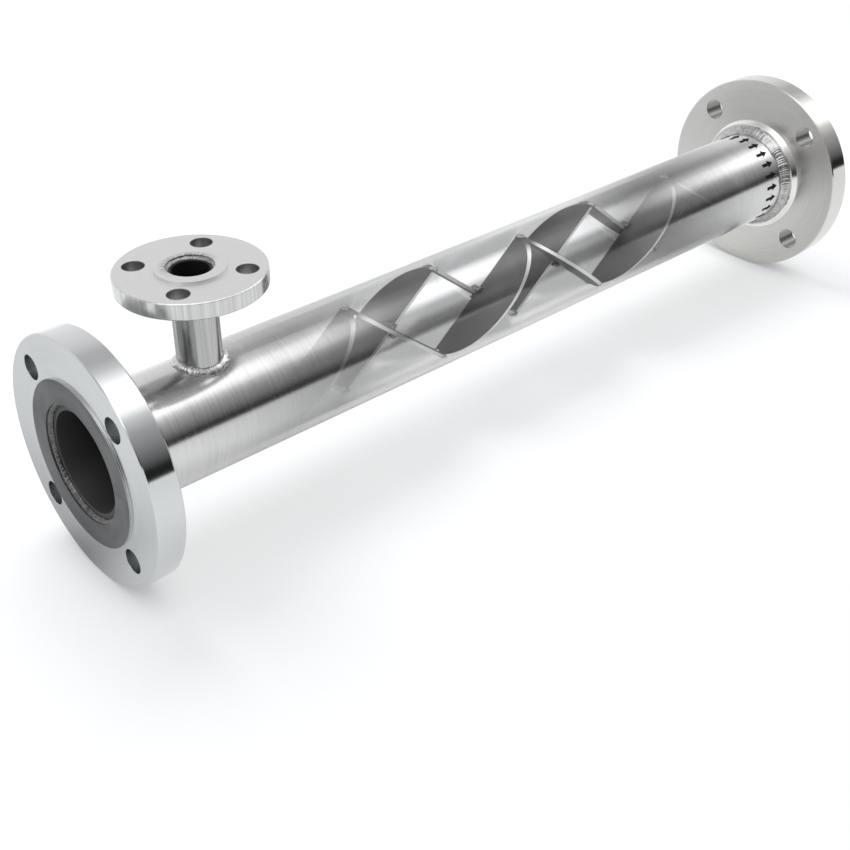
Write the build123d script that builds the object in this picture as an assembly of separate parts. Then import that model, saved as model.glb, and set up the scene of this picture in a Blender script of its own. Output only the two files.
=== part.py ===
from build123d import *
import math
import os

# Static mixer: a flanged pipe spool with crossed half-elliptical mixing plates and an injection branch.
# Millimetres. X runs with the flow from the inlet raised face at x = 0, and Z points up the branch.

# Whole mixer
FACE_TO_FACE = 796.0
BRANCH_X = 104.2
BRANCH_STANDOFF = 73.55

# Housing pipe, 3 inch schedule 40
PIPE_OD = 88.9
PIPE_WALL = 5.49

# End flanges, 3 inch class 150 slip-on, sized outward from the bore
FLANGE_CLEARANCE = 0.9
FLANGE_THICKNESS = 22.3
FLANGE_RAISED_WIDTH = 18.15
FLANGE_BOLT_OFFSET = 12.7
FLANGE_RIM_OFFSET = 19.05
FLANGE_HOLE = 19.05
FLANGE_HUB_WALL = 7.65
FLANGE_HUB_FLARE = 2.25
FLANGE_HUB_HEIGHT = 6.3
FLANGE_RIM_CHAMFER = 1.0
FLANGE_SETBACK = 4.3

# Branch pipe, 1 inch schedule 40
BRANCH_OD = 33.4
BRANCH_WALL = 3.38

# Branch flange, 1 inch class 150 slip-on, sized outward from the bore
BRANCH_CLEARANCE = 0.55
BRANCH_THICKNESS = 12.7
BRANCH_RAISED_WIDTH = 8.15
BRANCH_BOLT_OFFSET = 14.3
BRANCH_RIM_OFFSET = 14.3
BRANCH_HOLE = 15.9
BRANCH_HUB_WALL = 6.25
BRANCH_HUB_FLARE = 1.15
BRANCH_HUB_HEIGHT = 3.2
BRANCH_RIM_CHAMFER = 0.8
BRANCH_SETBACK = 3.0

# Shared by the three flanges
RAISED_HEIGHT = 1.6
BOLT_COUNT = 4
FIRST_BOLT_ANGLE = 45.0

# Mixing plates: the first tips stand a lead past the branch, the last a run before the outlet face
SEGMENT_COUNT = 6
MIXER_LEAD = 35.3
OUTLET_RUN = 75.7
PLATE_THICKNESS = 3.0
PLATE_CLEARANCE = 0.3

# Weld beads
HUB_WELD_LEG = 7.4
HUB_WELD_WIDTH = 6.5
FACE_WELD_RECESS = 1.2
FACE_WELD_WIDTH = 2.3
BRANCH_HUB_WELD_LEG = 4.7
BRANCH_HUB_WELD_WIDTH = 4.2
BRANCH_FACE_WELD_RECESS = 0.8
BRANCH_FACE_WELD_WIDTH = 2.0
WELD_ROOT_DEPTH = 1.2
WELD_CROWN_RATIO = 0.12
SADDLE_WELD_LEG = 6.0
SADDLE_WELD_EDGE = 0.4
CROSSING_WELD_RADIUS = 6.0
CROSSING_WELD_LENGTH = 9.0
TIP_WELD_RADIUS = 4.0
TIP_WELD_OFFSET = 2.0

# How far a cutting body runs past what it cuts
OVERRUN = 5.0

# Derived sizes
PIPE_R = PIPE_OD / 2
PIPE_BORE_R = PIPE_R - PIPE_WALL
BRANCH_R = BRANCH_OD / 2
BRANCH_BORE_R = BRANCH_R - BRANCH_WALL
BRANCH_FACE_Z = PIPE_R + BRANCH_STANDOFF
PLATE_R = PIPE_BORE_R - PLATE_CLEARANCE
FIRST_STATION_X = BRANCH_X + MIXER_LEAD
STATION_PITCH = (FACE_TO_FACE - OUTLET_RUN - FIRST_STATION_X) / SEGMENT_COUNT
PLATE_ANGLE = math.degrees(math.atan2(2 * PLATE_R, STATION_PITCH))

# Each flange is drawn on Z with its raised face up at z = 0, and then set at its place
INLET_PLACE = Location((0, 0, 0), (0, -90, 0))
OUTLET_PLACE = Location((FACE_TO_FACE, 0, 0), (0, 90, 0))
BRANCH_PLACE = Location((BRANCH_X, 0, BRANCH_FACE_Z))


def save(shape, name):
    """Write one named sub-part."""
    os.makedirs("parts", exist_ok=True)
    export_step(shape, f"parts/{name}.step")


def x_rod(radius, x_start, x_end):
    """A solid rod on the housing's axis."""
    return Plane.YZ.offset(x_start) * extrude(Circle(radius), x_end - x_start)


def z_rod(radius, z_start, z_end):
    """A solid rod on the branch's axis."""
    return Pos(BRANCH_X, 0, z_start) * extrude(Circle(radius), z_end - z_start)


def slip_on_flange(
    bore_r, thickness, raised_width, bolt_offset, rim_offset, hole, hub_wall, flare, hub_height, bevel
):
    """A flange with its raised face at z = 0, its plate under that and its hub at the bottom."""
    raised_r = bore_r + raised_width
    bolt_r = raised_r + bolt_offset
    rim_r = bolt_r + rim_offset
    top = -RAISED_HEIGHT
    bottom = top - thickness
    section = Polyline(
        (bore_r, 0),
        (raised_r, 0),
        (raised_r, top),
        (rim_r - bevel, top),
        (rim_r, top - bevel),
        (rim_r, bottom + bevel),
        (rim_r - bevel, bottom),
        (bore_r + hub_wall + flare, bottom),
        (bore_r + hub_wall, bottom - hub_height),
        (bore_r, bottom - hub_height),
        close=True,
    )
    flange = revolve(Plane.XZ * make_face(section), Axis.Z)
    drill = Pos(0, 0, bottom - OVERRUN) * extrude(Circle(hole / 2), thickness + 2 * OVERRUN)
    for index in range(BOLT_COUNT):
        angle = FIRST_BOLT_ANGLE + index * 360 / BOLT_COUNT
        flange -= Rot(0, 0, angle) * Pos(bolt_r, 0, 0) * drill
    return flange


def weld_ring(first_toe, second_toe, root):
    """A bead turned on Z: a crowned face from toe to toe, and straight edges back through the root."""
    run_r = second_toe[0] - first_toe[0]
    run_z = second_toe[1] - first_toe[1]
    crown_r = first_toe[0] + run_r / 2 + WELD_CROWN_RATIO * run_z
    crown_z = first_toe[1] + run_z / 2 - WELD_CROWN_RATIO * run_r
    face = ThreePointArc(first_toe, (crown_r, crown_z), second_toe)
    back = Polyline(second_toe, *root, first_toe)
    return revolve(Plane.XZ * make_face([face, back]), Axis.Z)


def hub_weld(pipe_r, bore_r, hub_end, leg, width):
    """The fillet between a pipe and its flange's hub, whose end is at z = hub_end."""
    root_end = hub_end + WELD_ROOT_DEPTH
    root = [(bore_r, hub_end), (bore_r, root_end), (pipe_r, root_end)]
    pipe_toe = (pipe_r, hub_end - leg)
    hub_toe = (pipe_r + width, hub_end)
    return weld_ring(pipe_toe, hub_toe, root)


def face_weld(pipe_r, bore_r, setback, recess, width):
    """The fillet in a flange's bore over the end of its pipe, which lies at z = -setback."""
    root_end = -setback - WELD_ROOT_DEPTH
    root = [(pipe_r, -setback), (pipe_r, root_end), (bore_r, root_end)]
    bore_toe = (bore_r, -recess)
    pipe_toe = (pipe_r - width, -setback)
    return weld_ring(bore_toe, pipe_toe, root)


def saddle_weld():
    """The fillet around the foot of the branch, a square ring with its outer top edge cut away."""
    ring = z_rod(BRANCH_R + SADDLE_WELD_LEG, 0, BRANCH_FACE_Z)
    ring &= x_rod(PIPE_R + SADDLE_WELD_LEG, 0, FACE_TO_FACE)
    ring -= x_rod(PIPE_R, 0, FACE_TO_FACE)
    ring -= z_rod(BRANCH_R, 0, BRANCH_FACE_Z)
    top_edges = [edge for edge in ring.edges() if edge.bounding_box().max.Z > PIPE_R + SADDLE_WELD_LEG / 2]
    widest = max(edge.bounding_box().size.Y for edge in top_edges)
    outer_top = [edge for edge in top_edges if edge.bounding_box().size.Y > widest - SADDLE_WELD_EDGE]
    return chamfer(outer_top, SADDLE_WELD_LEG - SADDLE_WELD_EDGE)


def station_x(number):
    """Where the plates' tips meet the bore: station 0 begins the first segment."""
    return FIRST_STATION_X + number * STATION_PITCH


def plate_blank(x_middle, slope):
    """The uncut sheet of a mixing plate through the axis at x_middle: slope is 1 rising with X or -1."""
    length = 2 * math.hypot(PLATE_R, STATION_PITCH / 2) + 2 * OVERRUN
    sheet = Box(length, 2 * PLATE_R + 2 * OVERRUN, PLATE_THICKNESS)
    return Pos(x_middle, 0, 0) * Rot(0, -slope * PLATE_ANGLE, 0) * sheet


def mixing_plate(segment, side, slope):
    """One half-ellipse plate between two stations, on the side -1 or 1 of the plane y = 0."""
    core = x_rod(PLATE_R, station_x(segment), station_x(segment + 1))
    half_core = split(core, Plane.XZ, keep=Keep.TOP if side < 0 else Keep.BOTTOM)
    return plate_blank(station_x(segment + 0.5), slope) & half_core


def crossing_beads(segment):
    """The beads in the crotch above and the crotch below the crossing of a segment's two plates."""
    x_middle = station_x(segment + 0.5)
    bar = Pos(x_middle, 0, 0) * Rot(90, 0, 0) * Cylinder(CROSSING_WELD_RADIUS, CROSSING_WELD_LENGTH)
    for slope in (-1, 1):
        bar -= plate_blank(x_middle, slope)
    sectors = bar.solids().sort_by(Axis.Z)
    return [sectors[0], sectors[-1]]


def tip_bead(station, side, nearby_plates):
    """The bead that fixes the tips on one side of a station to the bore, at its crown or its floor."""
    height = side * PIPE_BORE_R if station % 2 == 0 else -side * PIPE_BORE_R
    bead = Pos(station_x(station), side * TIP_WELD_OFFSET, height) * Sphere(TIP_WELD_RADIUS)
    bead &= x_rod(PIPE_BORE_R, 0, FACE_TO_FACE)
    for plate in nearby_plates:
        bead -= plate
    return bead.solids()


# Housing pipe, set back inside both end flanges, with the branch's hole in its crown
housing = x_rod(PIPE_R, FLANGE_SETBACK, FACE_TO_FACE - FLANGE_SETBACK)
housing -= x_rod(PIPE_BORE_R, 0, FACE_TO_FACE)
housing -= z_rod(BRANCH_BORE_R, 0, PIPE_R + OVERRUN)
save(housing, "housing_pipe")

# End flanges, each with a weld at its hub and one over the pipe's end
flange_bore_r = PIPE_R + FLANGE_CLEARANCE
flange_hub_end = -RAISED_HEIGHT - FLANGE_THICKNESS - FLANGE_HUB_HEIGHT
end_flange = slip_on_flange(
    flange_bore_r,
    FLANGE_THICKNESS,
    FLANGE_RAISED_WIDTH,
    FLANGE_BOLT_OFFSET,
    FLANGE_RIM_OFFSET,
    FLANGE_HOLE,
    FLANGE_HUB_WALL,
    FLANGE_HUB_FLARE,
    FLANGE_HUB_HEIGHT,
    FLANGE_RIM_CHAMFER,
)
end_hub_weld = hub_weld(PIPE_R, flange_bore_r, flange_hub_end, HUB_WELD_LEG, HUB_WELD_WIDTH)
end_face_weld = face_weld(PIPE_R, flange_bore_r, FLANGE_SETBACK, FACE_WELD_RECESS, FACE_WELD_WIDTH)
for end_name, place in (("inlet", INLET_PLACE), ("outlet", OUTLET_PLACE)):
    save(place * end_flange, f"{end_name}_flange")
    save(place * end_hub_weld, f"{end_name}_hub_weld")
    save(place * end_face_weld, f"{end_name}_face_weld")

# Branch pipe, cut to sit on the housing around its hole
branch = z_rod(BRANCH_R, 0, BRANCH_FACE_Z - BRANCH_SETBACK)
branch -= z_rod(BRANCH_BORE_R, 0, BRANCH_FACE_Z)
branch -= x_rod(PIPE_R, 0, FACE_TO_FACE)
save(branch, "branch_pipe")
save(saddle_weld(), "branch_saddle_weld")

# Branch flange with its two welds
branch_bore_r = BRANCH_R + BRANCH_CLEARANCE
branch_hub_end = -RAISED_HEIGHT - BRANCH_THICKNESS - BRANCH_HUB_HEIGHT
branch_flange = slip_on_flange(
    branch_bore_r,
    BRANCH_THICKNESS,
    BRANCH_RAISED_WIDTH,
    BRANCH_BOLT_OFFSET,
    BRANCH_RIM_OFFSET,
    BRANCH_HOLE,
    BRANCH_HUB_WALL,
    BRANCH_HUB_FLARE,
    BRANCH_HUB_HEIGHT,
    BRANCH_RIM_CHAMFER,
)
branch_hub_weld = hub_weld(
    BRANCH_R, branch_bore_r, branch_hub_end, BRANCH_HUB_WELD_LEG, BRANCH_HUB_WELD_WIDTH
)
branch_face_weld = face_weld(
    BRANCH_R, branch_bore_r, BRANCH_SETBACK, BRANCH_FACE_WELD_RECESS, BRANCH_FACE_WELD_WIDTH
)
save(BRANCH_PLACE * branch_flange, "branch_flange")
save(BRANCH_PLACE * branch_hub_weld, "branch_hub_weld")
save(BRANCH_PLACE * branch_face_weld, "branch_face_weld")

# Mixing plates: in each segment the near and far plates slope opposite ways, and swap at every station
plates = []
for segment in range(SEGMENT_COUNT):
    near_slope = 1 if segment % 2 == 0 else -1
    for side_name, side, slope in (("near", -1, near_slope), ("far", 1, -near_slope)):
        plate = mixing_plate(segment, side, slope)
        plates.append(plate)
        save(plate, f"mixing_plate_{side_name}_{segment + 1}")

# Plate welds: at each crossing on the axis, and at each station where the tips meet the bore
crossing_welds = [bead for segment in range(SEGMENT_COUNT) for bead in crossing_beads(segment)]
save(Compound(children=crossing_welds), "crossing_welds")
tip_welds = []
for station in range(SEGMENT_COUNT + 1):
    nearby_plates = plates[max(0, 2 * station - 2):2 * station + 2]
    for side in (-1, 1):
        tip_welds += tip_bead(station, side, nearby_plates)
save(Compound(children=tip_welds), "tip_welds")
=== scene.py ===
"""Looks of the static mixer: steel finishes, weld beads, flow arrows, studio and camera."""

import math
import random

import bmesh
import bpy
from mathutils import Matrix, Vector


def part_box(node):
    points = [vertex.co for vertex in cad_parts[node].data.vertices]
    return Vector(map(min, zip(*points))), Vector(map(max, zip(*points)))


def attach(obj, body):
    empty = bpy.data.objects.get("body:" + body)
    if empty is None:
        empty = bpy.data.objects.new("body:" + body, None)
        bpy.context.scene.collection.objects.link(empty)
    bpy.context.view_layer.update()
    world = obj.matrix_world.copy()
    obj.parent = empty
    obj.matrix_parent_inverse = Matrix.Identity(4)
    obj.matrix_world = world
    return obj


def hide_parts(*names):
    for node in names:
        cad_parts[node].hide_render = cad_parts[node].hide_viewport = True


# Sizes taken over from the part, in metres
PIPE_RADIUS = 0.04445
PIPE_BORE = 0.03896
FLANGE_RADIUS = 0.09525
FLANGE_THICKNESS = 0.0239
FLANGE_HUB_SIDE = 0.0514
RAISED_RADIUS = 0.0635
FLANGE_BOLT_OFFSET = 0.0762 * math.sqrt(0.5)
FLANGE_HOLE_RADIUS = 0.009525
FACE_TO_FACE = 0.796
BRANCH_X = 0.1042
BRANCH_RADIUS = 0.0167
BRANCH_BORE = 0.01332
BRANCH_FLANGE_RADIUS = 0.05395
BRANCH_BOLT_OFFSET = 0.0397 * math.sqrt(0.5)
BRANCH_HOLE_RADIUS = 0.00795
PLATES_PER_SIDE = 6

# Tones and roughness of the housing; a pair is the range that the brushing moves in, and for the
# bore it runs from the pipe's ends inwards over the bore's depth, as a painted shade that darkens the deep
# bore
PIPE_TONE = (0.590, 0.715)
PIPE_ROUGHNESS = (0.14, 0.21)
PIPE_END_TONE = 0.10
BORE_SHADE = (0.15, 0.012)
BORE_SHADE_DEPTH = 0.09
BORE_GHOST_TONE = 0.60
BORE_ROUGHNESS = 0.62

# Tones and roughness of the branch pipe
BRANCH_TONE = (0.40, 0.52)
BRANCH_ROUGHNESS = 0.17
BRANCH_BORE_TONE = 0.05
BRANCH_BORE_ROUGHNESS = 0.6

# Tones and roughness of the end flanges, and how far each one's red, green and blue lean; the hole
# tones are painted shade on the walls of the bolt holes
FLANGE_TONE = (0.57, 0.61)
FLANGE_ROUGHNESS = 0.26
RAISED_TONE = (0.15, 0.2)
RAISED_ROUGHNESS = 0.55
HUB_TONE = 0.80
HUB_ROUGHNESS = 0.12
RIM_TONE = 0.66
RIM_ROUGHNESS = 0.07
# The casts paint a cool light on the inlet flange and a warm light on the outlet flange
INLET_COOL_LIGHT_CAST = (0.975, 1.0, 1.005)
INLET_HOLE_SHADE = 0.55
OUTLET_WARM_LIGHT_CAST = (1.01, 1.0, 0.965)
OUTLET_HOLE_SHADE = 0.24
SERRATION_PITCH = 0.0008
GROOVE_SPREAD = 0.75
FLANGE_WORN_EDGE = 0.0009

# Tones and roughness of the branch flange, and the marks round the far side of its bore: their
# reach and the places along Y between which they set in
BRANCH_FLANGE_TONE = (0.725, 0.755)
BRANCH_FLANGE_ROUGHNESS = 0.45
BRANCH_RIM_TONE = (0.5, 0.75)
BRANCH_RIM_ROUGHNESS = 0.2
# Painted shade on the walls of its bolt holes
BRANCH_HOLE_SHADE = 0.34
BRANCH_WORN_EDGE = 0.0006
MARKS_TONE = 0.30
MARKS_REACH = 0.0075
MARKS_SIDE = (-0.010, 0.008)

# Tones and roughness of the mixing plates, the weld beads and the ink
PLATE_TONE = (0.105, 0.135)
# Painted highlight on the plates' edges that face along Y
PLATE_EDGE_HIGHLIGHT = 0.9
PLATE_ROUGHNESS = 0.5
PLATE_METALLIC = 0.6
CROSSING_TONE = (0.20, 0.34)
TIP_TONE = (0.32, 0.5)
INNER_PITTING = 0.05
HUB_BEAD_TONE = (0.34, 0.62)
SADDLE_BEAD_TONE = (0.42, 0.80)
FACE_BEAD_TONE = (0.06, 0.18)
BRANCH_FACE_BEAD_TONE = (0.16, 0.40)
BEAD_PITTING = 0.25
BEAD_ROUGHNESS = (0.16, 0.32)
INK_TONE = (0.004, 0.03)
INK_ROUGHNESS = 0.6
INK_SPECULAR = 0.15

# See-through stretch of the housing: where it fades in and out along X, the slopes up and to the
# front of the plane that parts its upper front from its lower back, and how much of the wall
# stays on each
GHOST_RISE = (0.05, 0.31)
GHOST_FALL = (0.52, 0.77)
GHOST_UP = 0.66
GHOST_FRONT = 0.75
GHOST_COVER = 0.10
GHOST_BACK_COVER = 0.62

# Streaks of that wall that stay more or less, as painted reflection that carries the pipe's reflected
# streaks on through the see-through stretch: the back streak lies behind the reflected dark streak and
# the back clear band behind the reflected bright one. Each has two angles and a soft edge, and how much
# stays. The front streak and the bottom count up from the horizon towards -Y, and the back ones down from
# the horizon towards +Y. The front streak is weaker in a middle stretch along X.
GHOST_REFLECTED_STREAK = (math.radians(18), math.radians(33), math.radians(5))
GHOST_REFLECTED_STREAK_COVER = 0.42
GHOST_MIDDLE = (0.38, 0.55, 0.07)
GHOST_MIDDLE_COVER = 0.06
GHOST_BACK_REFLECTED_STREAK = (math.radians(38), math.radians(54), math.radians(5))
GHOST_BACK_REFLECTED_STREAK_COVER = 0.82
GHOST_BACK_HIGHLIGHT_CLEAR = (math.radians(2), math.radians(24), math.radians(6))
GHOST_BACK_HIGHLIGHT_CLEAR_COVER = 0.08
GHOST_BOTTOM_REFLECTION = (math.radians(-66), math.radians(-46), math.radians(4))
GHOST_BOTTOM_REFLECTION_COVER = 0.80

# Flow arrows printed on the pipe before the outlet
ARROW_COUNT = 24
ARROW_FIRST_ANGLE = math.radians(9)
ARROW_X = 0.745
ARROW_LENGTH = 0.0155
ARROW_HEAD_LENGTH = 0.0072
ARROW_HEAD_WIDTH = 0.0074
ARROW_SHAFT_WIDTH = 0.0032
ARROW_LIFT = 0.00012

# The weld beads' roots below the pipes' ends, the widths of the face beads on those ends, and the
# widths of the saddle bead on the pipe and on the branch
WELD_ROOT = 0.0012
FACE_BEAD_WIDTH = 0.0023
BRANCH_FACE_BEAD_WIDTH = 0.0020
SADDLE_LEGS = (0.0044, 0.0040)

# Each bead's number of ripples, their height and the depth of the bead's root
HUB_RIPPLES = (100, 0.0009, 0.0005)
BRANCH_HUB_RIPPLES = (40, 0.0008, 0.0004)
SADDLE_RIPPLES = (44, 0.0009, 0.0006)
FACE_RIPPLES = (92, 0.0006, 0.0004)
BRANCH_FACE_RIPPLES = (54, 0.0006, 0.0003)

# The ripples' mesh and form: steps along one, points across it, the seed and the range of its
# rise over the bead's base, how far its middle runs ahead, and the pitch in lengths of its hump
RIPPLE_STEPS = 8
RIPPLE_POINTS = 9
RIPPLE_SEED = 7
RIPPLE_RISE = (0.15, 0.6)
RIPPLE_BASE = 0.55
RIPPLE_LEAD = 0.55
RIPPLE_PITCH = 1.25

# Floor: a large plane just under the flanges, with pale paper that gives way to plain glow
# further out, and a contact shade of this reach that leaves this much of the glow
FLOOR_SIZE = 60.0
FLOOR_GAP = 0.0002
FLOOR_PALE = ((0.40, 0.405, 0.41, 1.0), (0.42, 0.425, 0.43, 1.0))
FLOOR_FAR = (1.0, 2.6)
FLOOR_GLOW = 0.60
FLOOR_CONTACT = 0.03
FLOOR_CONTACT_LEVEL = 0.45

# Strip of the floor behind the pipe that the steel reflects darker, as over a grey card: its
# reach along the pipe from the pipe's middle and its reach behind the axis, with soft edges
CARD_LENGTH = (-0.445, 0.13, 0.05)
CARD_DEPTH = (0.0, 0.35, 0.03)
CARD_LEVEL = 0.25

# Brightness of the studio in reflections, by the angle round the pipe's axis: 0 degrees is the
# horizon towards -Y, 90 is overhead, 180 the horizon towards +Y, and below 0 is under the horizon
STUDIO_BANDS = [
    (-180, 0.85), (-2, 0.85), (1, 0.012), (9, 0.020), (16, 0.14), (28, 0.30), (42, 0.48), (54, 0.85),
    (60, 1.45), (70, 1.95), (84, 1.90), (93, 1.25), (102, 0.80), (112, 0.60), (124, 0.62), (134, 0.80),
    (146, 0.92), (180, 1.02),
]
STUDIO_BLUE = 1.01
STUDIO_DIFFUSE = (0.62, 0.63, 0.65, 1.0)
WHITE = (1.0, 1.0, 1.0, 1.0)
BLACK = (0.0, 0.0, 0.0, 1.0)

# Soft lamp above and behind the mixer
KEY_PLACE = (0.5, 1.0, 1.9)
KEY_AIM = (0.4, 0.0, 0.0)
KEY_SIZE = 1.2
KEY_POWER = 30.0

# Camera at the photograph's viewing angle
CAMERA_PLACE = (-0.3188, -0.7061, 0.5165)
CAMERA_YAW = 0.834
CAMERA_PITCH = -0.5805
CAMERA_LENS = 55.2
CAMERA_SENSOR = 36.0
CAMERA_CLIP = (0.01, 200.0)


class Graph:
    """The node tree of one material, with short calls for the nodes used here."""

    def __init__(self, name):
        self.material = bpy.data.materials.new(name)
        self.material.use_nodes = True
        self.nodes = self.material.node_tree.nodes
        self.links = self.material.node_tree.links
        self.shader = self.nodes["Principled BSDF"]

    def node(self, kind, inputs=(), **settings):
        """A new node with its settings, and with a value or a link on each of the inputs."""
        made = self.nodes.new(kind)
        for key, value in settings.items():
            setattr(made, key, value)
        for key, value in dict(inputs).items():
            self.feed(made.inputs[key], value)
        return made

    def feed(self, socket, value):
        """Links the socket to another node's output, or sets its value."""
        if isinstance(value, bpy.types.NodeSocket):
            self.links.new(value, socket)
        else:
            socket.default_value = value

    def math(self, operation, a, b=0.0):
        return self.node("ShaderNodeMath", {0: a, 1: b}, operation=operation).outputs[0]

    def times(self, a, b):
        return self.math("MULTIPLY", a, b)

    def distance(self, a, b):
        """Length of the vector with these two parts."""
        return self.math("SQRT", self.math("ADD", self.times(a, a), self.times(b, b)))

    def ramp(self, value, low, high, start=0.0, end=1.0):
        """value mapped smoothly from low..high to start..end."""
        made = self.node(
            "ShaderNodeMapRange",
            {"Value": value, "From Min": low, "From Max": high, "To Min": start, "To Max": end},
            interpolation_type="SMOOTHSTEP",
        )
        return made.outputs["Result"]

    def inside(self, value, low, high, soft):
        """1 where value lies between low and high, with a soft edge."""
        rise = self.ramp(value, low - soft, low + soft)
        fall = self.ramp(value, high - soft, high + soft, 1.0, 0.0)
        return self.times(rise, fall)

    def blend(self, factor, a, b):
        """a where the factor is 0 and b where it is 1, for numbers."""
        made = self.node("ShaderNodeMix", data_type="FLOAT")
        self.feed(made.inputs[0], factor)
        self.feed(made.inputs[2], a)
        self.feed(made.inputs[3], b)
        return made.outputs[0]

    def tint(self, factor, a, b):
        """a where the factor is 0 and b where it is 1, for colours."""
        made = self.node("ShaderNodeMix", data_type="RGBA")
        self.feed(made.inputs[0], factor)
        self.feed(made.inputs[6], a)
        self.feed(made.inputs[7], b)
        return made.outputs[2]

    def combine(self, x, y, z):
        return self.node("ShaderNodeCombineXYZ", {0: x, 1: y, 2: z}).outputs[0]

    def cast(self, tone, red, green, blue):
        """Colour of a grey tone whose red, green and blue lean by these factors."""
        return self.combine(self.times(tone, red), self.times(tone, green), self.times(tone, blue))

    def point(self):
        """The shaded point in its object's frame, which is the part's for all but the floor."""
        return self.node("ShaderNodeTexCoord").outputs["Object"]

    def place(self):
        """x, y and z of that point."""
        split = self.node("ShaderNodeSeparateXYZ", {0: self.point()})
        return split.outputs[0], split.outputs[1], split.outputs[2]

    def round_coordinates(self, axis):
        """Place along the axis, distance from it and angle round it; axis is X, or Z for the branch."""
        x, y, z = self.place()
        if axis == "X":
            along, across, up = x, y, z
        else:
            along, across, up = z, y, self.math("SUBTRACT", x, BRANCH_X)
        return along, self.distance(across, up), self.math("ARCTAN2", up, across)

    def bolt_holes(self, axis, offset, radius):
        """1 on the walls of a flange's four bolt holes, whose centres lie at the same offset on
        both cross axes."""
        x, y, z = self.place()
        other = z if axis == "X" else self.math("SUBTRACT", x, BRANCH_X)
        across = self.math("SUBTRACT", self.math("ABSOLUTE", y), offset)
        up = self.math("SUBTRACT", self.math("ABSOLUTE", other), offset)
        return self.ramp(self.distance(across, up), radius + 0.0001, radius + 0.0006, 1.0, 0.0)

    def stretched(self, *pairs):
        """A place for a texture from up to three values, each with its own scale."""
        scaled = [self.times(value, scale) for value, scale in pairs]
        return self.combine(*scaled, *[0.0] * (3 - len(scaled)))

    def noise(self, vector, scale, detail=3.0, roughness=0.5):
        made = self.node(
            "ShaderNodeTexNoise",
            {"Vector": vector, "Scale": scale, "Detail": detail, "Roughness": roughness},
        )
        return made.outputs["Fac"]

    def bump(self, height, strength, distance, normal=None):
        inputs = {"Height": height, "Strength": strength, "Distance": distance}
        if normal is not None:
            inputs["Normal"] = normal
        return self.node("ShaderNodeBump", inputs).outputs["Normal"]

    def worn_edges(self, radius):
        """Normal that rounds the sharp edges by the given radius."""
        return self.node("ShaderNodeBevel", {"Radius": radius}, samples=6).outputs["Normal"]

    def turned(self, strength):
        """Grooves that run round the X axis, which spread reflections across them."""
        self.shader.inputs["Anisotropic"].default_value = strength
        round_axis = self.node("ShaderNodeTangent", direction_type="RADIAL", axis="X")
        self.links.new(round_axis.outputs["Tangent"], self.shader.inputs["Tangent"])

    def finish(self, color, roughness, metallic=1.0, normal=None, alpha=None):
        """The material, once these are on its shader."""
        self.feed(self.shader.inputs["Base Color"], color)
        self.feed(self.shader.inputs["Roughness"], roughness)
        self.shader.inputs["Metallic"].default_value = metallic
        if normal is not None:
            self.feed(self.shader.inputs["Normal"], normal)
        if alpha is not None:
            self.feed(self.shader.inputs["Alpha"], alpha)
        return self.material


# Materials


def ghost_cover(g, x, y, z):
    """How much of the wall stays where the housing is see-through, from the place on the pipe; the bands by
    angle are painted reflection that carries the pipe's streaks on through it.
    """
    front = g.math("ARCTAN2", z, g.times(y, -1.0))
    back = g.math("ARCTAN2", g.times(z, -1.0), y)
    facing = g.math("SUBTRACT", g.times(z, GHOST_UP), g.times(y, GHOST_FRONT))
    cover = g.blend(g.ramp(facing, -0.004, 0.004), GHOST_BACK_COVER, GHOST_COVER)
    reflected_streak = g.blend(g.inside(x, *GHOST_MIDDLE), GHOST_REFLECTED_STREAK_COVER, GHOST_MIDDLE_COVER)
    cover = g.blend(g.inside(front, *GHOST_REFLECTED_STREAK), cover, reflected_streak)
    cover = g.blend(g.inside(back, *GHOST_BACK_REFLECTED_STREAK), cover, GHOST_BACK_REFLECTED_STREAK_COVER)
    cover = g.blend(g.inside(back, *GHOST_BACK_HIGHLIGHT_CLEAR), cover, GHOST_BACK_HIGHLIGHT_CLEAR_COVER)
    return g.blend(g.inside(front, *GHOST_BOTTOM_REFLECTION), cover, GHOST_BOTTOM_REFLECTION_COVER)


def brushed_pipe():
    """Circumferential brushing on the housing, whose middle is see-through over the mixing plates."""
    g = Graph("housing_steel")
    x, radius = g.round_coordinates("X")[:2]
    y, z = g.place()[1:]
    fine = g.noise(g.stretched((x, 2200.0), (y, 20.0), (z, 20.0)), 1.0, 4.0, 0.6)
    broad = g.noise(g.stretched((x, 60.0), (y, 10.0), (z, 10.0)), 1.0, 2.0)
    outer = g.ramp(radius, PIPE_RADIUS - 0.0010, PIPE_RADIUS - 0.0004)
    end = g.ramp(radius, PIPE_BORE + 0.0002, PIPE_BORE + 0.0008)
    ghost = g.times(g.ramp(x, *GHOST_RISE), g.ramp(x, *GHOST_FALL, 1.0, 0.0))

    skin = g.times(g.ramp(fine, 0.26, 0.74, *PIPE_TONE), g.ramp(broad, 0.3, 0.7, 0.98, 1.02))
    depth = g.math("MINIMUM", x, g.math("SUBTRACT", FACE_TO_FACE, x))
    # Painted shade: the bore darkens from the pipe's ends inwards, and is lighter in the see-through
    # stretch
    bore = g.blend(ghost, g.ramp(depth, 0.0, BORE_SHADE_DEPTH, *BORE_SHADE), BORE_GHOST_TONE)
    tone = g.blend(outer, g.blend(end, bore, PIPE_END_TONE), skin)
    roughness = g.blend(outer, BORE_ROUGHNESS, g.ramp(fine, 0.2, 0.8, *PIPE_ROUGHNESS))
    gone = g.math("SUBTRACT", 1.0, g.times(ghost_cover(g, x, y, z), outer))
    alpha = g.math("SUBTRACT", 1.0, g.times(ghost, gone))
    brushing = g.bump(fine, 0.09, 0.00005)
    return g.finish(g.cast(tone, 1.0, 0.998, 0.988), roughness, normal=brushing, alpha=alpha)


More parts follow.
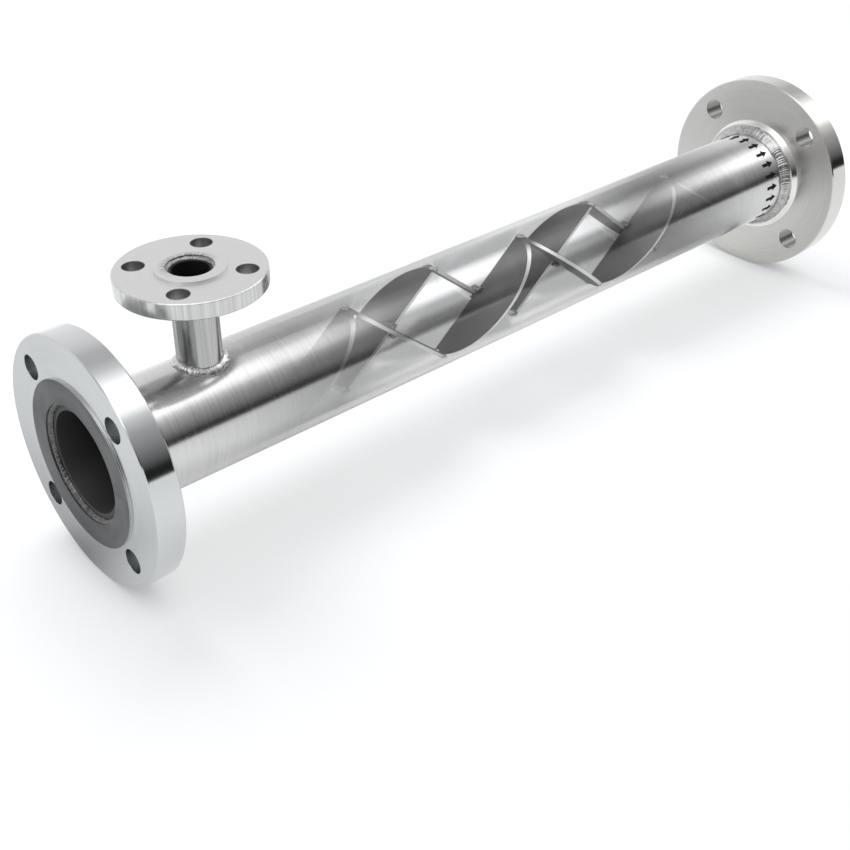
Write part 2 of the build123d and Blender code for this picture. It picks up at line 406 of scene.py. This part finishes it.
def brushed_branch():
    """Drawn branch pipe with faint lines along it."""
    g = Graph("branch_steel")
    along, radius, angle = g.round_coordinates("Z")
    lines = g.noise(g.stretched((angle, 16.0), (along, 8.0)), 1.0, 4.0)
    outer = g.ramp(radius, BRANCH_BORE + 0.001, BRANCH_RADIUS - 0.0008)
    tone = g.blend(outer, BRANCH_BORE_TONE, g.ramp(lines, 0.25, 0.75, *BRANCH_TONE))
    roughness = g.blend(outer, BRANCH_BORE_ROUGHNESS, BRANCH_ROUGHNESS)
    return g.finish(g.cast(tone, 1.0, 1.0, 0.985), roughness, normal=g.bump(lines, 0.08, 0.0001))


def turned_flange(name, face_x, outward, cast, hole_shade):
    """Faced and turned flange: dark serrated raised face, satin faces, polished hub and rim."""
    g = Graph(name)
    x, radius, angle = g.round_coordinates("X")
    depth = g.times(g.math("SUBTRACT", x, face_x), -outward)
    rings = g.noise(g.stretched((radius, 900.0), (angle, 1.2)), 1.0, 3.0, 0.6)
    cloud = g.noise(g.stretched((x, 20.0), (radius, 60.0), (angle, 1.5)), 1.0, 2.0)
    near_face = g.ramp(depth, 0.0004, 0.0010, 1.0, 0.0)
    raised = g.times(near_face, g.ramp(radius, RAISED_RADIUS - 0.0004, RAISED_RADIUS + 0.0001, 1.0, 0.0))
    cut = g.times(raised, g.ramp(radius, RAISED_RADIUS - 0.0012, RAISED_RADIUS - 0.0006, 1.0, 0.0))
    behind = g.ramp(depth, FLANGE_THICKNESS + 0.0002, FLANGE_THICKNESS + 0.0008)
    hub = g.times(behind, g.ramp(radius, FLANGE_HUB_SIDE - 0.0002, FLANGE_HUB_SIDE + 0.0002))
    rim = g.ramp(radius, FLANGE_RADIUS - 0.0012, FLANGE_RADIUS - 0.0004)
    holes = g.bolt_holes("X", FLANGE_BOLT_OFFSET, FLANGE_HOLE_RADIUS)

    tone = g.blend(raised, g.ramp(rings, 0.3, 0.7, *FLANGE_TONE), g.ramp(cloud, 0.3, 0.7, *RAISED_TONE))
    # Painted shade on the walls of the bolt holes
    tone = g.blend(holes, tone, hole_shade)
    tone = g.blend(rim, g.blend(hub, tone, HUB_TONE), RIM_TONE)
    roughness = g.blend(hub, g.blend(raised, FLANGE_ROUGHNESS, RAISED_ROUGHNESS), HUB_ROUGHNESS)
    roughness = g.blend(rim, roughness, RIM_ROUGHNESS)
    fine = g.bump(rings, 0.05, 0.00005, normal=g.worn_edges(FLANGE_WORN_EDGE))
    serration = g.math("SINE", g.times(radius, 2 * math.pi / SERRATION_PITCH))
    serrated = g.bump(g.times(serration, cut), 0.35, 0.00006, normal=fine)
    g.turned(GROOVE_SPREAD)
    # The cast paints the flange's cool or warm light
    return g.finish(g.cast(tone, *cast), roughness, normal=serrated)


def turned_branch_flange():
    """Branch flange with a satin top, grinding marks at the bore's far side and a streaked rim."""
    g = Graph("branch_flange_steel")
    radius, angle = g.round_coordinates("Z")[1:]
    rings = g.noise(g.stretched((radius, 900.0), (angle, 1.2)), 1.0, 3.0)
    streaks = g.noise(g.stretched((angle, 14.0)), 1.0, 3.0, 0.7)
    spokes = g.noise(g.stretched((angle, 22.0), (radius, 90.0)), 1.0, 3.0, 0.7)
    rim = g.ramp(radius, BRANCH_FLANGE_RADIUS - 0.0010, BRANCH_FLANGE_RADIUS - 0.0003)
    far_side = g.ramp(g.place()[1], *MARKS_SIDE)
    marks = g.times(g.ramp(radius, BRANCH_RADIUS + 0.0004, BRANCH_RADIUS + MARKS_REACH, 1.0, 0.0), far_side)
    holes = g.bolt_holes("Z", BRANCH_BOLT_OFFSET, BRANCH_HOLE_RADIUS)

    top = g.ramp(rings, 0.3, 0.7, *BRANCH_FLANGE_TONE)
    tone = g.blend(rim, top, g.ramp(streaks, 0.3, 0.7, *BRANCH_RIM_TONE))
    tone = g.blend(g.times(marks, g.ramp(spokes, 0.40, 0.62)), tone, MARKS_TONE)
    # Painted shade on the walls of the bolt holes
    tone = g.blend(holes, tone, BRANCH_HOLE_SHADE)
    roughness = g.blend(rim, BRANCH_FLANGE_ROUGHNESS, BRANCH_RIM_ROUGHNESS)
    ground = g.bump(g.times(spokes, marks), 0.6, 0.0006, normal=g.worn_edges(BRANCH_WORN_EDGE))
    fine = g.bump(rings, 0.03, 0.00005, normal=ground)
    return g.finish(g.cast(tone, 1.0, 1.0, 0.99), roughness, normal=fine)


def bead_metal(name, tones, pitting=BEAD_PITTING):
    """As-welded metal with speckled colour and fine pits."""
    g = Graph(name)
    coords = g.point()
    grain = g.noise(coords, 1100.0, 3.0, 0.6)
    blot = g.noise(coords, 260.0, 2.0)
    speckle = g.math("ADD", g.times(blot, 0.6), g.times(grain, 0.4))
    color = g.cast(g.ramp(speckle, 0.3, 0.7, *tones), 1.0, 1.0, 0.99)
    roughness = g.ramp(blot, 0.3, 0.7, *BEAD_ROUGHNESS)
    return g.finish(color, roughness, normal=g.bump(grain, pitting, 0.0002))


def plate_steel():
    """Pickled matte plate with faint mottling, and a painted highlight on the edges that face along Y."""
    g = Graph("mixing_plate_steel")
    coords = g.point()
    mottle = g.noise(coords, 45.0, 4.0)
    grain = g.noise(coords, 1200.0, 2.0)
    normal = g.node("ShaderNodeNewGeometry").outputs["Normal"]
    sideways = g.node("ShaderNodeSeparateXYZ", {0: normal}).outputs[1]
    # Painted highlight: the edges that face along Y are made bright
    edge_highlight = g.ramp(g.math("ABSOLUTE", sideways), 0.3, 0.6)
    tone = g.blend(edge_highlight, g.ramp(mottle, 0.3, 0.7, *PLATE_TONE), PLATE_EDGE_HIGHLIGHT)
    color = g.combine(tone, tone, tone)
    return g.finish(color, PLATE_ROUGHNESS, PLATE_METALLIC, normal=g.bump(grain, 0.1, 0.00005))


def arrow_print():
    """Black marking ink with worn patches."""
    g = Graph("arrow_print")
    wear = g.noise(g.point(), 700.0, 3.0)
    tone = g.ramp(wear, 0.62, 0.85, *INK_TONE)
    g.shader.inputs["Specular IOR Level"].default_value = INK_SPECULAR
    return g.finish(g.combine(tone, tone, tone), INK_ROUGHNESS, metallic=0.0)


def dress(node, material):
    """Gives a CAD node its material on every slot."""
    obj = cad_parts[node]
    if not obj.material_slots:
        obj.data.materials.append(material)
    for slot in obj.material_slots:
        slot.material = material


# Pieces


def new_object(name, form, material):
    """An object with the form as its mesh and with one material."""
    mesh = bpy.data.meshes.new(name)
    form.to_mesh(mesh)
    form.free()
    made = bpy.data.objects.new(name, mesh)
    bpy.context.scene.collection.objects.link(made)
    made.data.materials.append(material)
    return made


def arrow_outline():
    """Corners of one flow arrow, along the flow and across it."""
    tail = -ARROW_LENGTH / 2
    neck = ARROW_LENGTH / 2 - ARROW_HEAD_LENGTH
    tip = ARROW_LENGTH / 2
    shaft = ARROW_SHAFT_WIDTH / 2
    head = ARROW_HEAD_WIDTH / 2
    one_side = [(tail, -shaft), (neck, -shaft), (neck, -head)]
    other_side = [(neck, head), (neck, shaft), (tail, shaft)]
    return one_side + [(tip, 0.0)] + other_side


def flow_arrows():
    """The ring of printed arrows, as thin shapes that follow the pipe's surface."""
    form = bmesh.new()
    radius = PIPE_RADIUS + ARROW_LIFT
    for index in range(ARROW_COUNT):
        middle = ARROW_FIRST_ANGLE + index * 2 * math.pi / ARROW_COUNT
        corners = []
        for along, across in arrow_outline():
            angle = middle + across / radius
            corner = (ARROW_X + along, -radius * math.cos(angle), radius * math.sin(angle))
            corners.append(form.verts.new(corner))
        form.faces.new(corners)
    form.normal_update()
    bmesh.ops.triangulate(form, faces=form.faces[:])
    arrows = new_object("flow_arrows", form, arrow_print())
    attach(arrows, "root")


def ripple_bead(name, node, material, corner, legs, ripples, crown, depth):
    """A weld bead that replaces a CAD ring. corner(angle) gives the corner point and the two
    surface directions there, and legs the bead's width along each. The ripples overlap like a row
    of coins and rise by the crown, and the bead's root lies at the depth under the corner."""
    steps = ripples * RIPPLE_STEPS
    chance = random.Random(RIPPLE_SEED)
    rise_of = [chance.uniform(*RIPPLE_RISE) for ripple in range(ripples)]
    form = bmesh.new()
    rings = []
    for step in range(steps):
        turn = step / steps
        angle = turn * 2 * math.pi
        place, first, second = corner(angle)
        lean = (first + second).normalized()
        wander = 1 + 0.05 * math.sin(angle * 7) + 0.04 * math.sin(angle * 17 + 1)
        drift = 0.3 * math.sin(angle * 5 + 0.7) + 0.25 * math.sin(angle * (ripples // 4))
        ring = [form.verts.new(place - lean * depth)]
        for point in range(RIPPLE_POINTS):
            share = point / (RIPPLE_POINTS - 1)
            arch = math.sin(math.pi * share)
            count = turn * ripples + RIPPLE_LEAD * arch + drift
            hump = math.sin(math.pi * min(1.0, count % 1.0 * RIPPLE_PITCH))
            swell = RIPPLE_BASE + rise_of[int(count) % ripples] * hump
            flat = place + first * legs[0] * wander * (1 - share) + second * legs[1] * wander * share
            ring.append(form.verts.new(flat + lean * crown * arch * swell))
        rings.append(ring)
    for here, following in zip(rings, rings[1:] + rings[:1]):
        for point in range(RIPPLE_POINTS + 1):
            other = (point + 1) % (RIPPLE_POINTS + 1)
            form.faces.new((here[point], following[point], following[other], here[other]))
    bmesh.ops.recalc_face_normals(form, faces=form.faces[:])
    for face in form.faces:
        face.smooth = True
    bead = new_object(name, form, material)
    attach(bead, "root")
    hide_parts(node)


def ring_corner(centre, radius, along, spread):
    """Corner that runs round an axis through the centre: along is its side on the axis, and its
    other side points away from the axis, or with a spread of -1 towards it."""
    def corner(angle):
        if along.x:
            out = Vector((0.0, math.cos(angle), math.sin(angle)))
        else:
            out = Vector((math.cos(angle), math.sin(angle), 0.0))
        return centre + out * radius, along, out * spread
    return corner


def saddle_corner(angle):
    """Corner between the branch pipe and the curved top of the housing."""
    across = BRANCH_RADIUS * math.sin(angle)
    height = math.sqrt(PIPE_RADIUS ** 2 - across ** 2)
    place = Vector((BRANCH_X + BRANCH_RADIUS * math.cos(angle), across, height))
    out = Vector((math.cos(angle), math.sin(angle), -math.sin(angle) * across / height)).normalized()
    return place, out, Vector((0.0, 0.0, 1.0))


def hub_beads():
    """The fillet beads where the three flange hubs and the branch meet the pipes."""
    inlet_low, inlet_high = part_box("inlet_hub_weld")
    outlet_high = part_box("outlet_hub_weld")[1]
    branch_low, branch_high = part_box("branch_hub_weld")
    metal = bead_metal("hub_bead", HUB_BEAD_TONE)
    legs = (inlet_high.x - inlet_low.x, inlet_high.y - PIPE_RADIUS)
    for end, x, back in (("inlet", inlet_low.x, 1.0), ("outlet", outlet_high.x, -1.0)):
        corner = ring_corner(Vector((x, 0.0, 0.0)), PIPE_RADIUS, Vector((back, 0.0, 0.0)), 1)
        ripple_bead(f"{end}_hub_bead", f"{end}_hub_weld", metal, corner, legs, *HUB_RIPPLES)
    centre = Vector((BRANCH_X, 0.0, branch_high.z))
    corner = ring_corner(centre, BRANCH_RADIUS, Vector((0.0, 0.0, -1.0)), 1)
    legs = (branch_high.z - branch_low.z, branch_high.y - BRANCH_RADIUS)
    ripple_bead("branch_hub_bead", "branch_hub_weld", metal, corner, legs, *BRANCH_HUB_RIPPLES)
    metal = bead_metal("saddle_metal", SADDLE_BEAD_TONE)
    ripple_bead("saddle_bead", "branch_saddle_weld", metal, saddle_corner, SADDLE_LEGS, *SADDLE_RIPPLES)


def face_beads():
    """The recessed beads in the three flanges' bores, over the ends of their pipes."""
    inlet_low, inlet_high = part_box("inlet_face_weld")
    branch_low, branch_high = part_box("branch_face_weld")
    metal = bead_metal("face_bead", FACE_BEAD_TONE)
    setback = inlet_high.x - WELD_ROOT
    legs = (setback - inlet_low.x, inlet_high.y - PIPE_RADIUS + FACE_BEAD_WIDTH)
    for end, x, outward in (("inlet", setback, -1.0), ("outlet", FACE_TO_FACE - setback, 1.0)):
        corner = ring_corner(Vector((x, 0.0, 0.0)), inlet_high.y, Vector((outward, 0.0, 0.0)), -1)
        ripple_bead(f"{end}_face_bead", f"{end}_face_weld", metal, corner, legs, *FACE_RIPPLES)
    pipe_end = branch_low.z + WELD_ROOT
    corner = ring_corner(Vector((BRANCH_X, 0.0, pipe_end)), branch_high.y, Vector((0.0, 0.0, 1.0)), -1)
    legs = (branch_high.z - pipe_end, branch_high.y - BRANCH_RADIUS + BRANCH_FACE_BEAD_WIDTH)
    metal = bead_metal("branch_face_metal", BRANCH_FACE_BEAD_TONE)
    ripple_bead("branch_face_bead", "branch_face_weld", metal, corner, legs, *BRANCH_FACE_RIPPLES)


# Studio


def floor():
    """Pale floor that stays white to the camera and in reflections, and keeps the soft shadow."""
    middle = (FACE_TO_FACE / 2, 0.0, -FLANGE_RADIUS - FLOOR_GAP)
    bpy.ops.mesh.primitive_plane_add(size=FLOOR_SIZE, location=middle)
    plane = bpy.context.object
    plane.name = "floor"
    g = Graph("floor_pale")
    g.nodes.remove(g.shader)
    x, y = g.place()[:2]
    far = g.ramp(g.distance(x, y), *FLOOR_FAR)
    paper = g.tint(g.noise(g.point(), 3.0), *FLOOR_PALE)
    paint = g.node("ShaderNodeBsdfDiffuse", {"Color": g.tint(far, paper, BLACK)})

    strip = g.times(g.inside(x, *CARD_LENGTH), g.inside(y, *CARD_DEPTH))
    path = g.node("ShaderNodeLightPath").outputs
    reflected = g.times(path["Is Glossy Ray"], g.blend(strip, 1.0, CARD_LEVEL))
    seen = g.math("MAXIMUM", path["Is Camera Ray"], reflected)
    seen = g.math("MAXIMUM", seen, path["Is Transmission Ray"])
    close = g.node("ShaderNodeAmbientOcclusion", {"Distance": FLOOR_CONTACT}, samples=8).outputs["AO"]
    level = g.times(g.blend(far, FLOOR_GLOW, 1.0), g.ramp(close, 0.0, 1.0, FLOOR_CONTACT_LEVEL, 1.0))
    glow = g.node("ShaderNodeEmission", {"Color": WHITE, "Strength": g.times(seen, level)})
    both = g.node("ShaderNodeAddShader", {0: paint.outputs[0], 1: glow.outputs[0]})
    g.links.new(both.outputs[0], g.nodes["Material Output"].inputs["Surface"])
    plane.data.materials.append(g.material)


def studio_world():
    """White to the camera, even for diffuse light, and banded like a light tent in reflections."""
    world = bpy.data.worlds.new("studio")
    bpy.context.scene.world = world
    world.use_nodes = True
    nodes = world.node_tree.nodes
    links = world.node_tree.links
    coords = nodes.new("ShaderNodeTexCoord")
    split = nodes.new("ShaderNodeSeparateXYZ")
    links.new(coords.outputs["Generated"], split.inputs[0])
    front = nodes.new("ShaderNodeMath")
    front.operation = "MULTIPLY"
    front.inputs[1].default_value = -1.0
    links.new(split.outputs[1], front.inputs[0])
    angle = nodes.new("ShaderNodeMath")
    angle.operation = "ARCTAN2"
    links.new(split.outputs[2], angle.inputs[0])
    links.new(front.outputs[0], angle.inputs[1])
    spread = nodes.new("ShaderNodeMapRange")
    spread.inputs["From Min"].default_value = -math.pi
    spread.inputs["From Max"].default_value = math.pi
    links.new(angle.outputs[0], spread.inputs["Value"])
    bands = nodes.new("ShaderNodeValToRGB")
    stops = bands.color_ramp.elements
    while len(stops) < len(STUDIO_BANDS):
        stops.new(0.5)
    for stop, (degrees, level) in zip(stops, STUDIO_BANDS):
        stop.position = (degrees + 180) / 360
        stop.color = (level, level, level * STUDIO_BLUE, 1.0)
    links.new(spread.outputs["Result"], bands.inputs["Fac"])

    path = nodes.new("ShaderNodeLightPath")
    shown = bands.outputs["Color"]
    for ray, color in (("Is Diffuse Ray", STUDIO_DIFFUSE), ("Is Camera Ray", WHITE)):
        mix = nodes.new("ShaderNodeMix")
        mix.data_type = "RGBA"
        mix.inputs[7].default_value = color
        links.new(path.outputs[ray], mix.inputs[0])
        links.new(shown, mix.inputs[6])
        shown = mix.outputs[2]
    links.new(shown, nodes["Background"].inputs["Color"])
    world.cycles.sampling_method = "NONE"


def key_lamp():
    """Soft round lamp that doesn't show in reflections."""
    data = bpy.data.lights.new("key", "AREA")
    data.shape = "DISK"
    data.size = KEY_SIZE
    data.energy = KEY_POWER
    lamp = bpy.data.objects.new("key", data)
    bpy.context.scene.collection.objects.link(lamp)
    lamp.location = KEY_PLACE
    lamp.rotation_euler = (Vector(KEY_AIM) - Vector(KEY_PLACE)).to_track_quat("-Z", "Y").to_euler()
    lamp.visible_glossy = False


def camera():
    data = bpy.data.cameras.new("camera")
    data.lens = CAMERA_LENS
    data.sensor_width = CAMERA_SENSOR
    data.clip_start, data.clip_end = CAMERA_CLIP
    made = bpy.data.objects.new("camera", data)
    bpy.context.scene.collection.objects.link(made)
    made.location = CAMERA_PLACE
    made.rotation_euler = (math.pi / 2 + CAMERA_PITCH, 0.0, CAMERA_YAW - math.pi / 2)
    bpy.context.scene.camera = made


# Build

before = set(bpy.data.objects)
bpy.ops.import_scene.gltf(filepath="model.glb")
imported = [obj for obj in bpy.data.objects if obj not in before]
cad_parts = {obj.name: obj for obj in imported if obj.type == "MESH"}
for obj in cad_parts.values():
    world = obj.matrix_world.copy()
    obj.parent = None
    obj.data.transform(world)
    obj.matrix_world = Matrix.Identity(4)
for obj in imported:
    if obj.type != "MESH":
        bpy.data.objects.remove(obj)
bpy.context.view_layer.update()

inlet_steel = turned_flange("inlet_flange_steel", 0.0, -1.0, INLET_COOL_LIGHT_CAST, INLET_HOLE_SHADE)
outlet_steel = turned_flange("outlet_flange_steel", FACE_TO_FACE, 1.0, OUTLET_WARM_LIGHT_CAST, OUTLET_HOLE_SHADE)
dress("housing_pipe", brushed_pipe())
dress("branch_pipe", brushed_branch())
dress("inlet_flange", inlet_steel)
dress("outlet_flange", outlet_steel)
dress("branch_flange", turned_branch_flange())
steel = plate_steel()
for side in ("near", "far"):
    for number in range(1, PLATES_PER_SIDE + 1):
        dress(f"mixing_plate_{side}_{number}", steel)
dress("crossing_welds", bead_metal("plate_bead", CROSSING_TONE, INNER_PITTING))
dress("tip_welds", bead_metal("tip_bead", TIP_TONE, INNER_PITTING))
hub_beads()
face_beads()
flow_arrows()

# The outlet flange's mirror image would break off the streaks that run along the pipe
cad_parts["outlet_flange"].visible_glossy = False

floor()
studio_world()
key_lamp()
camera()

scene = bpy.context.scene
scene.view_settings.view_transform = "Standard"
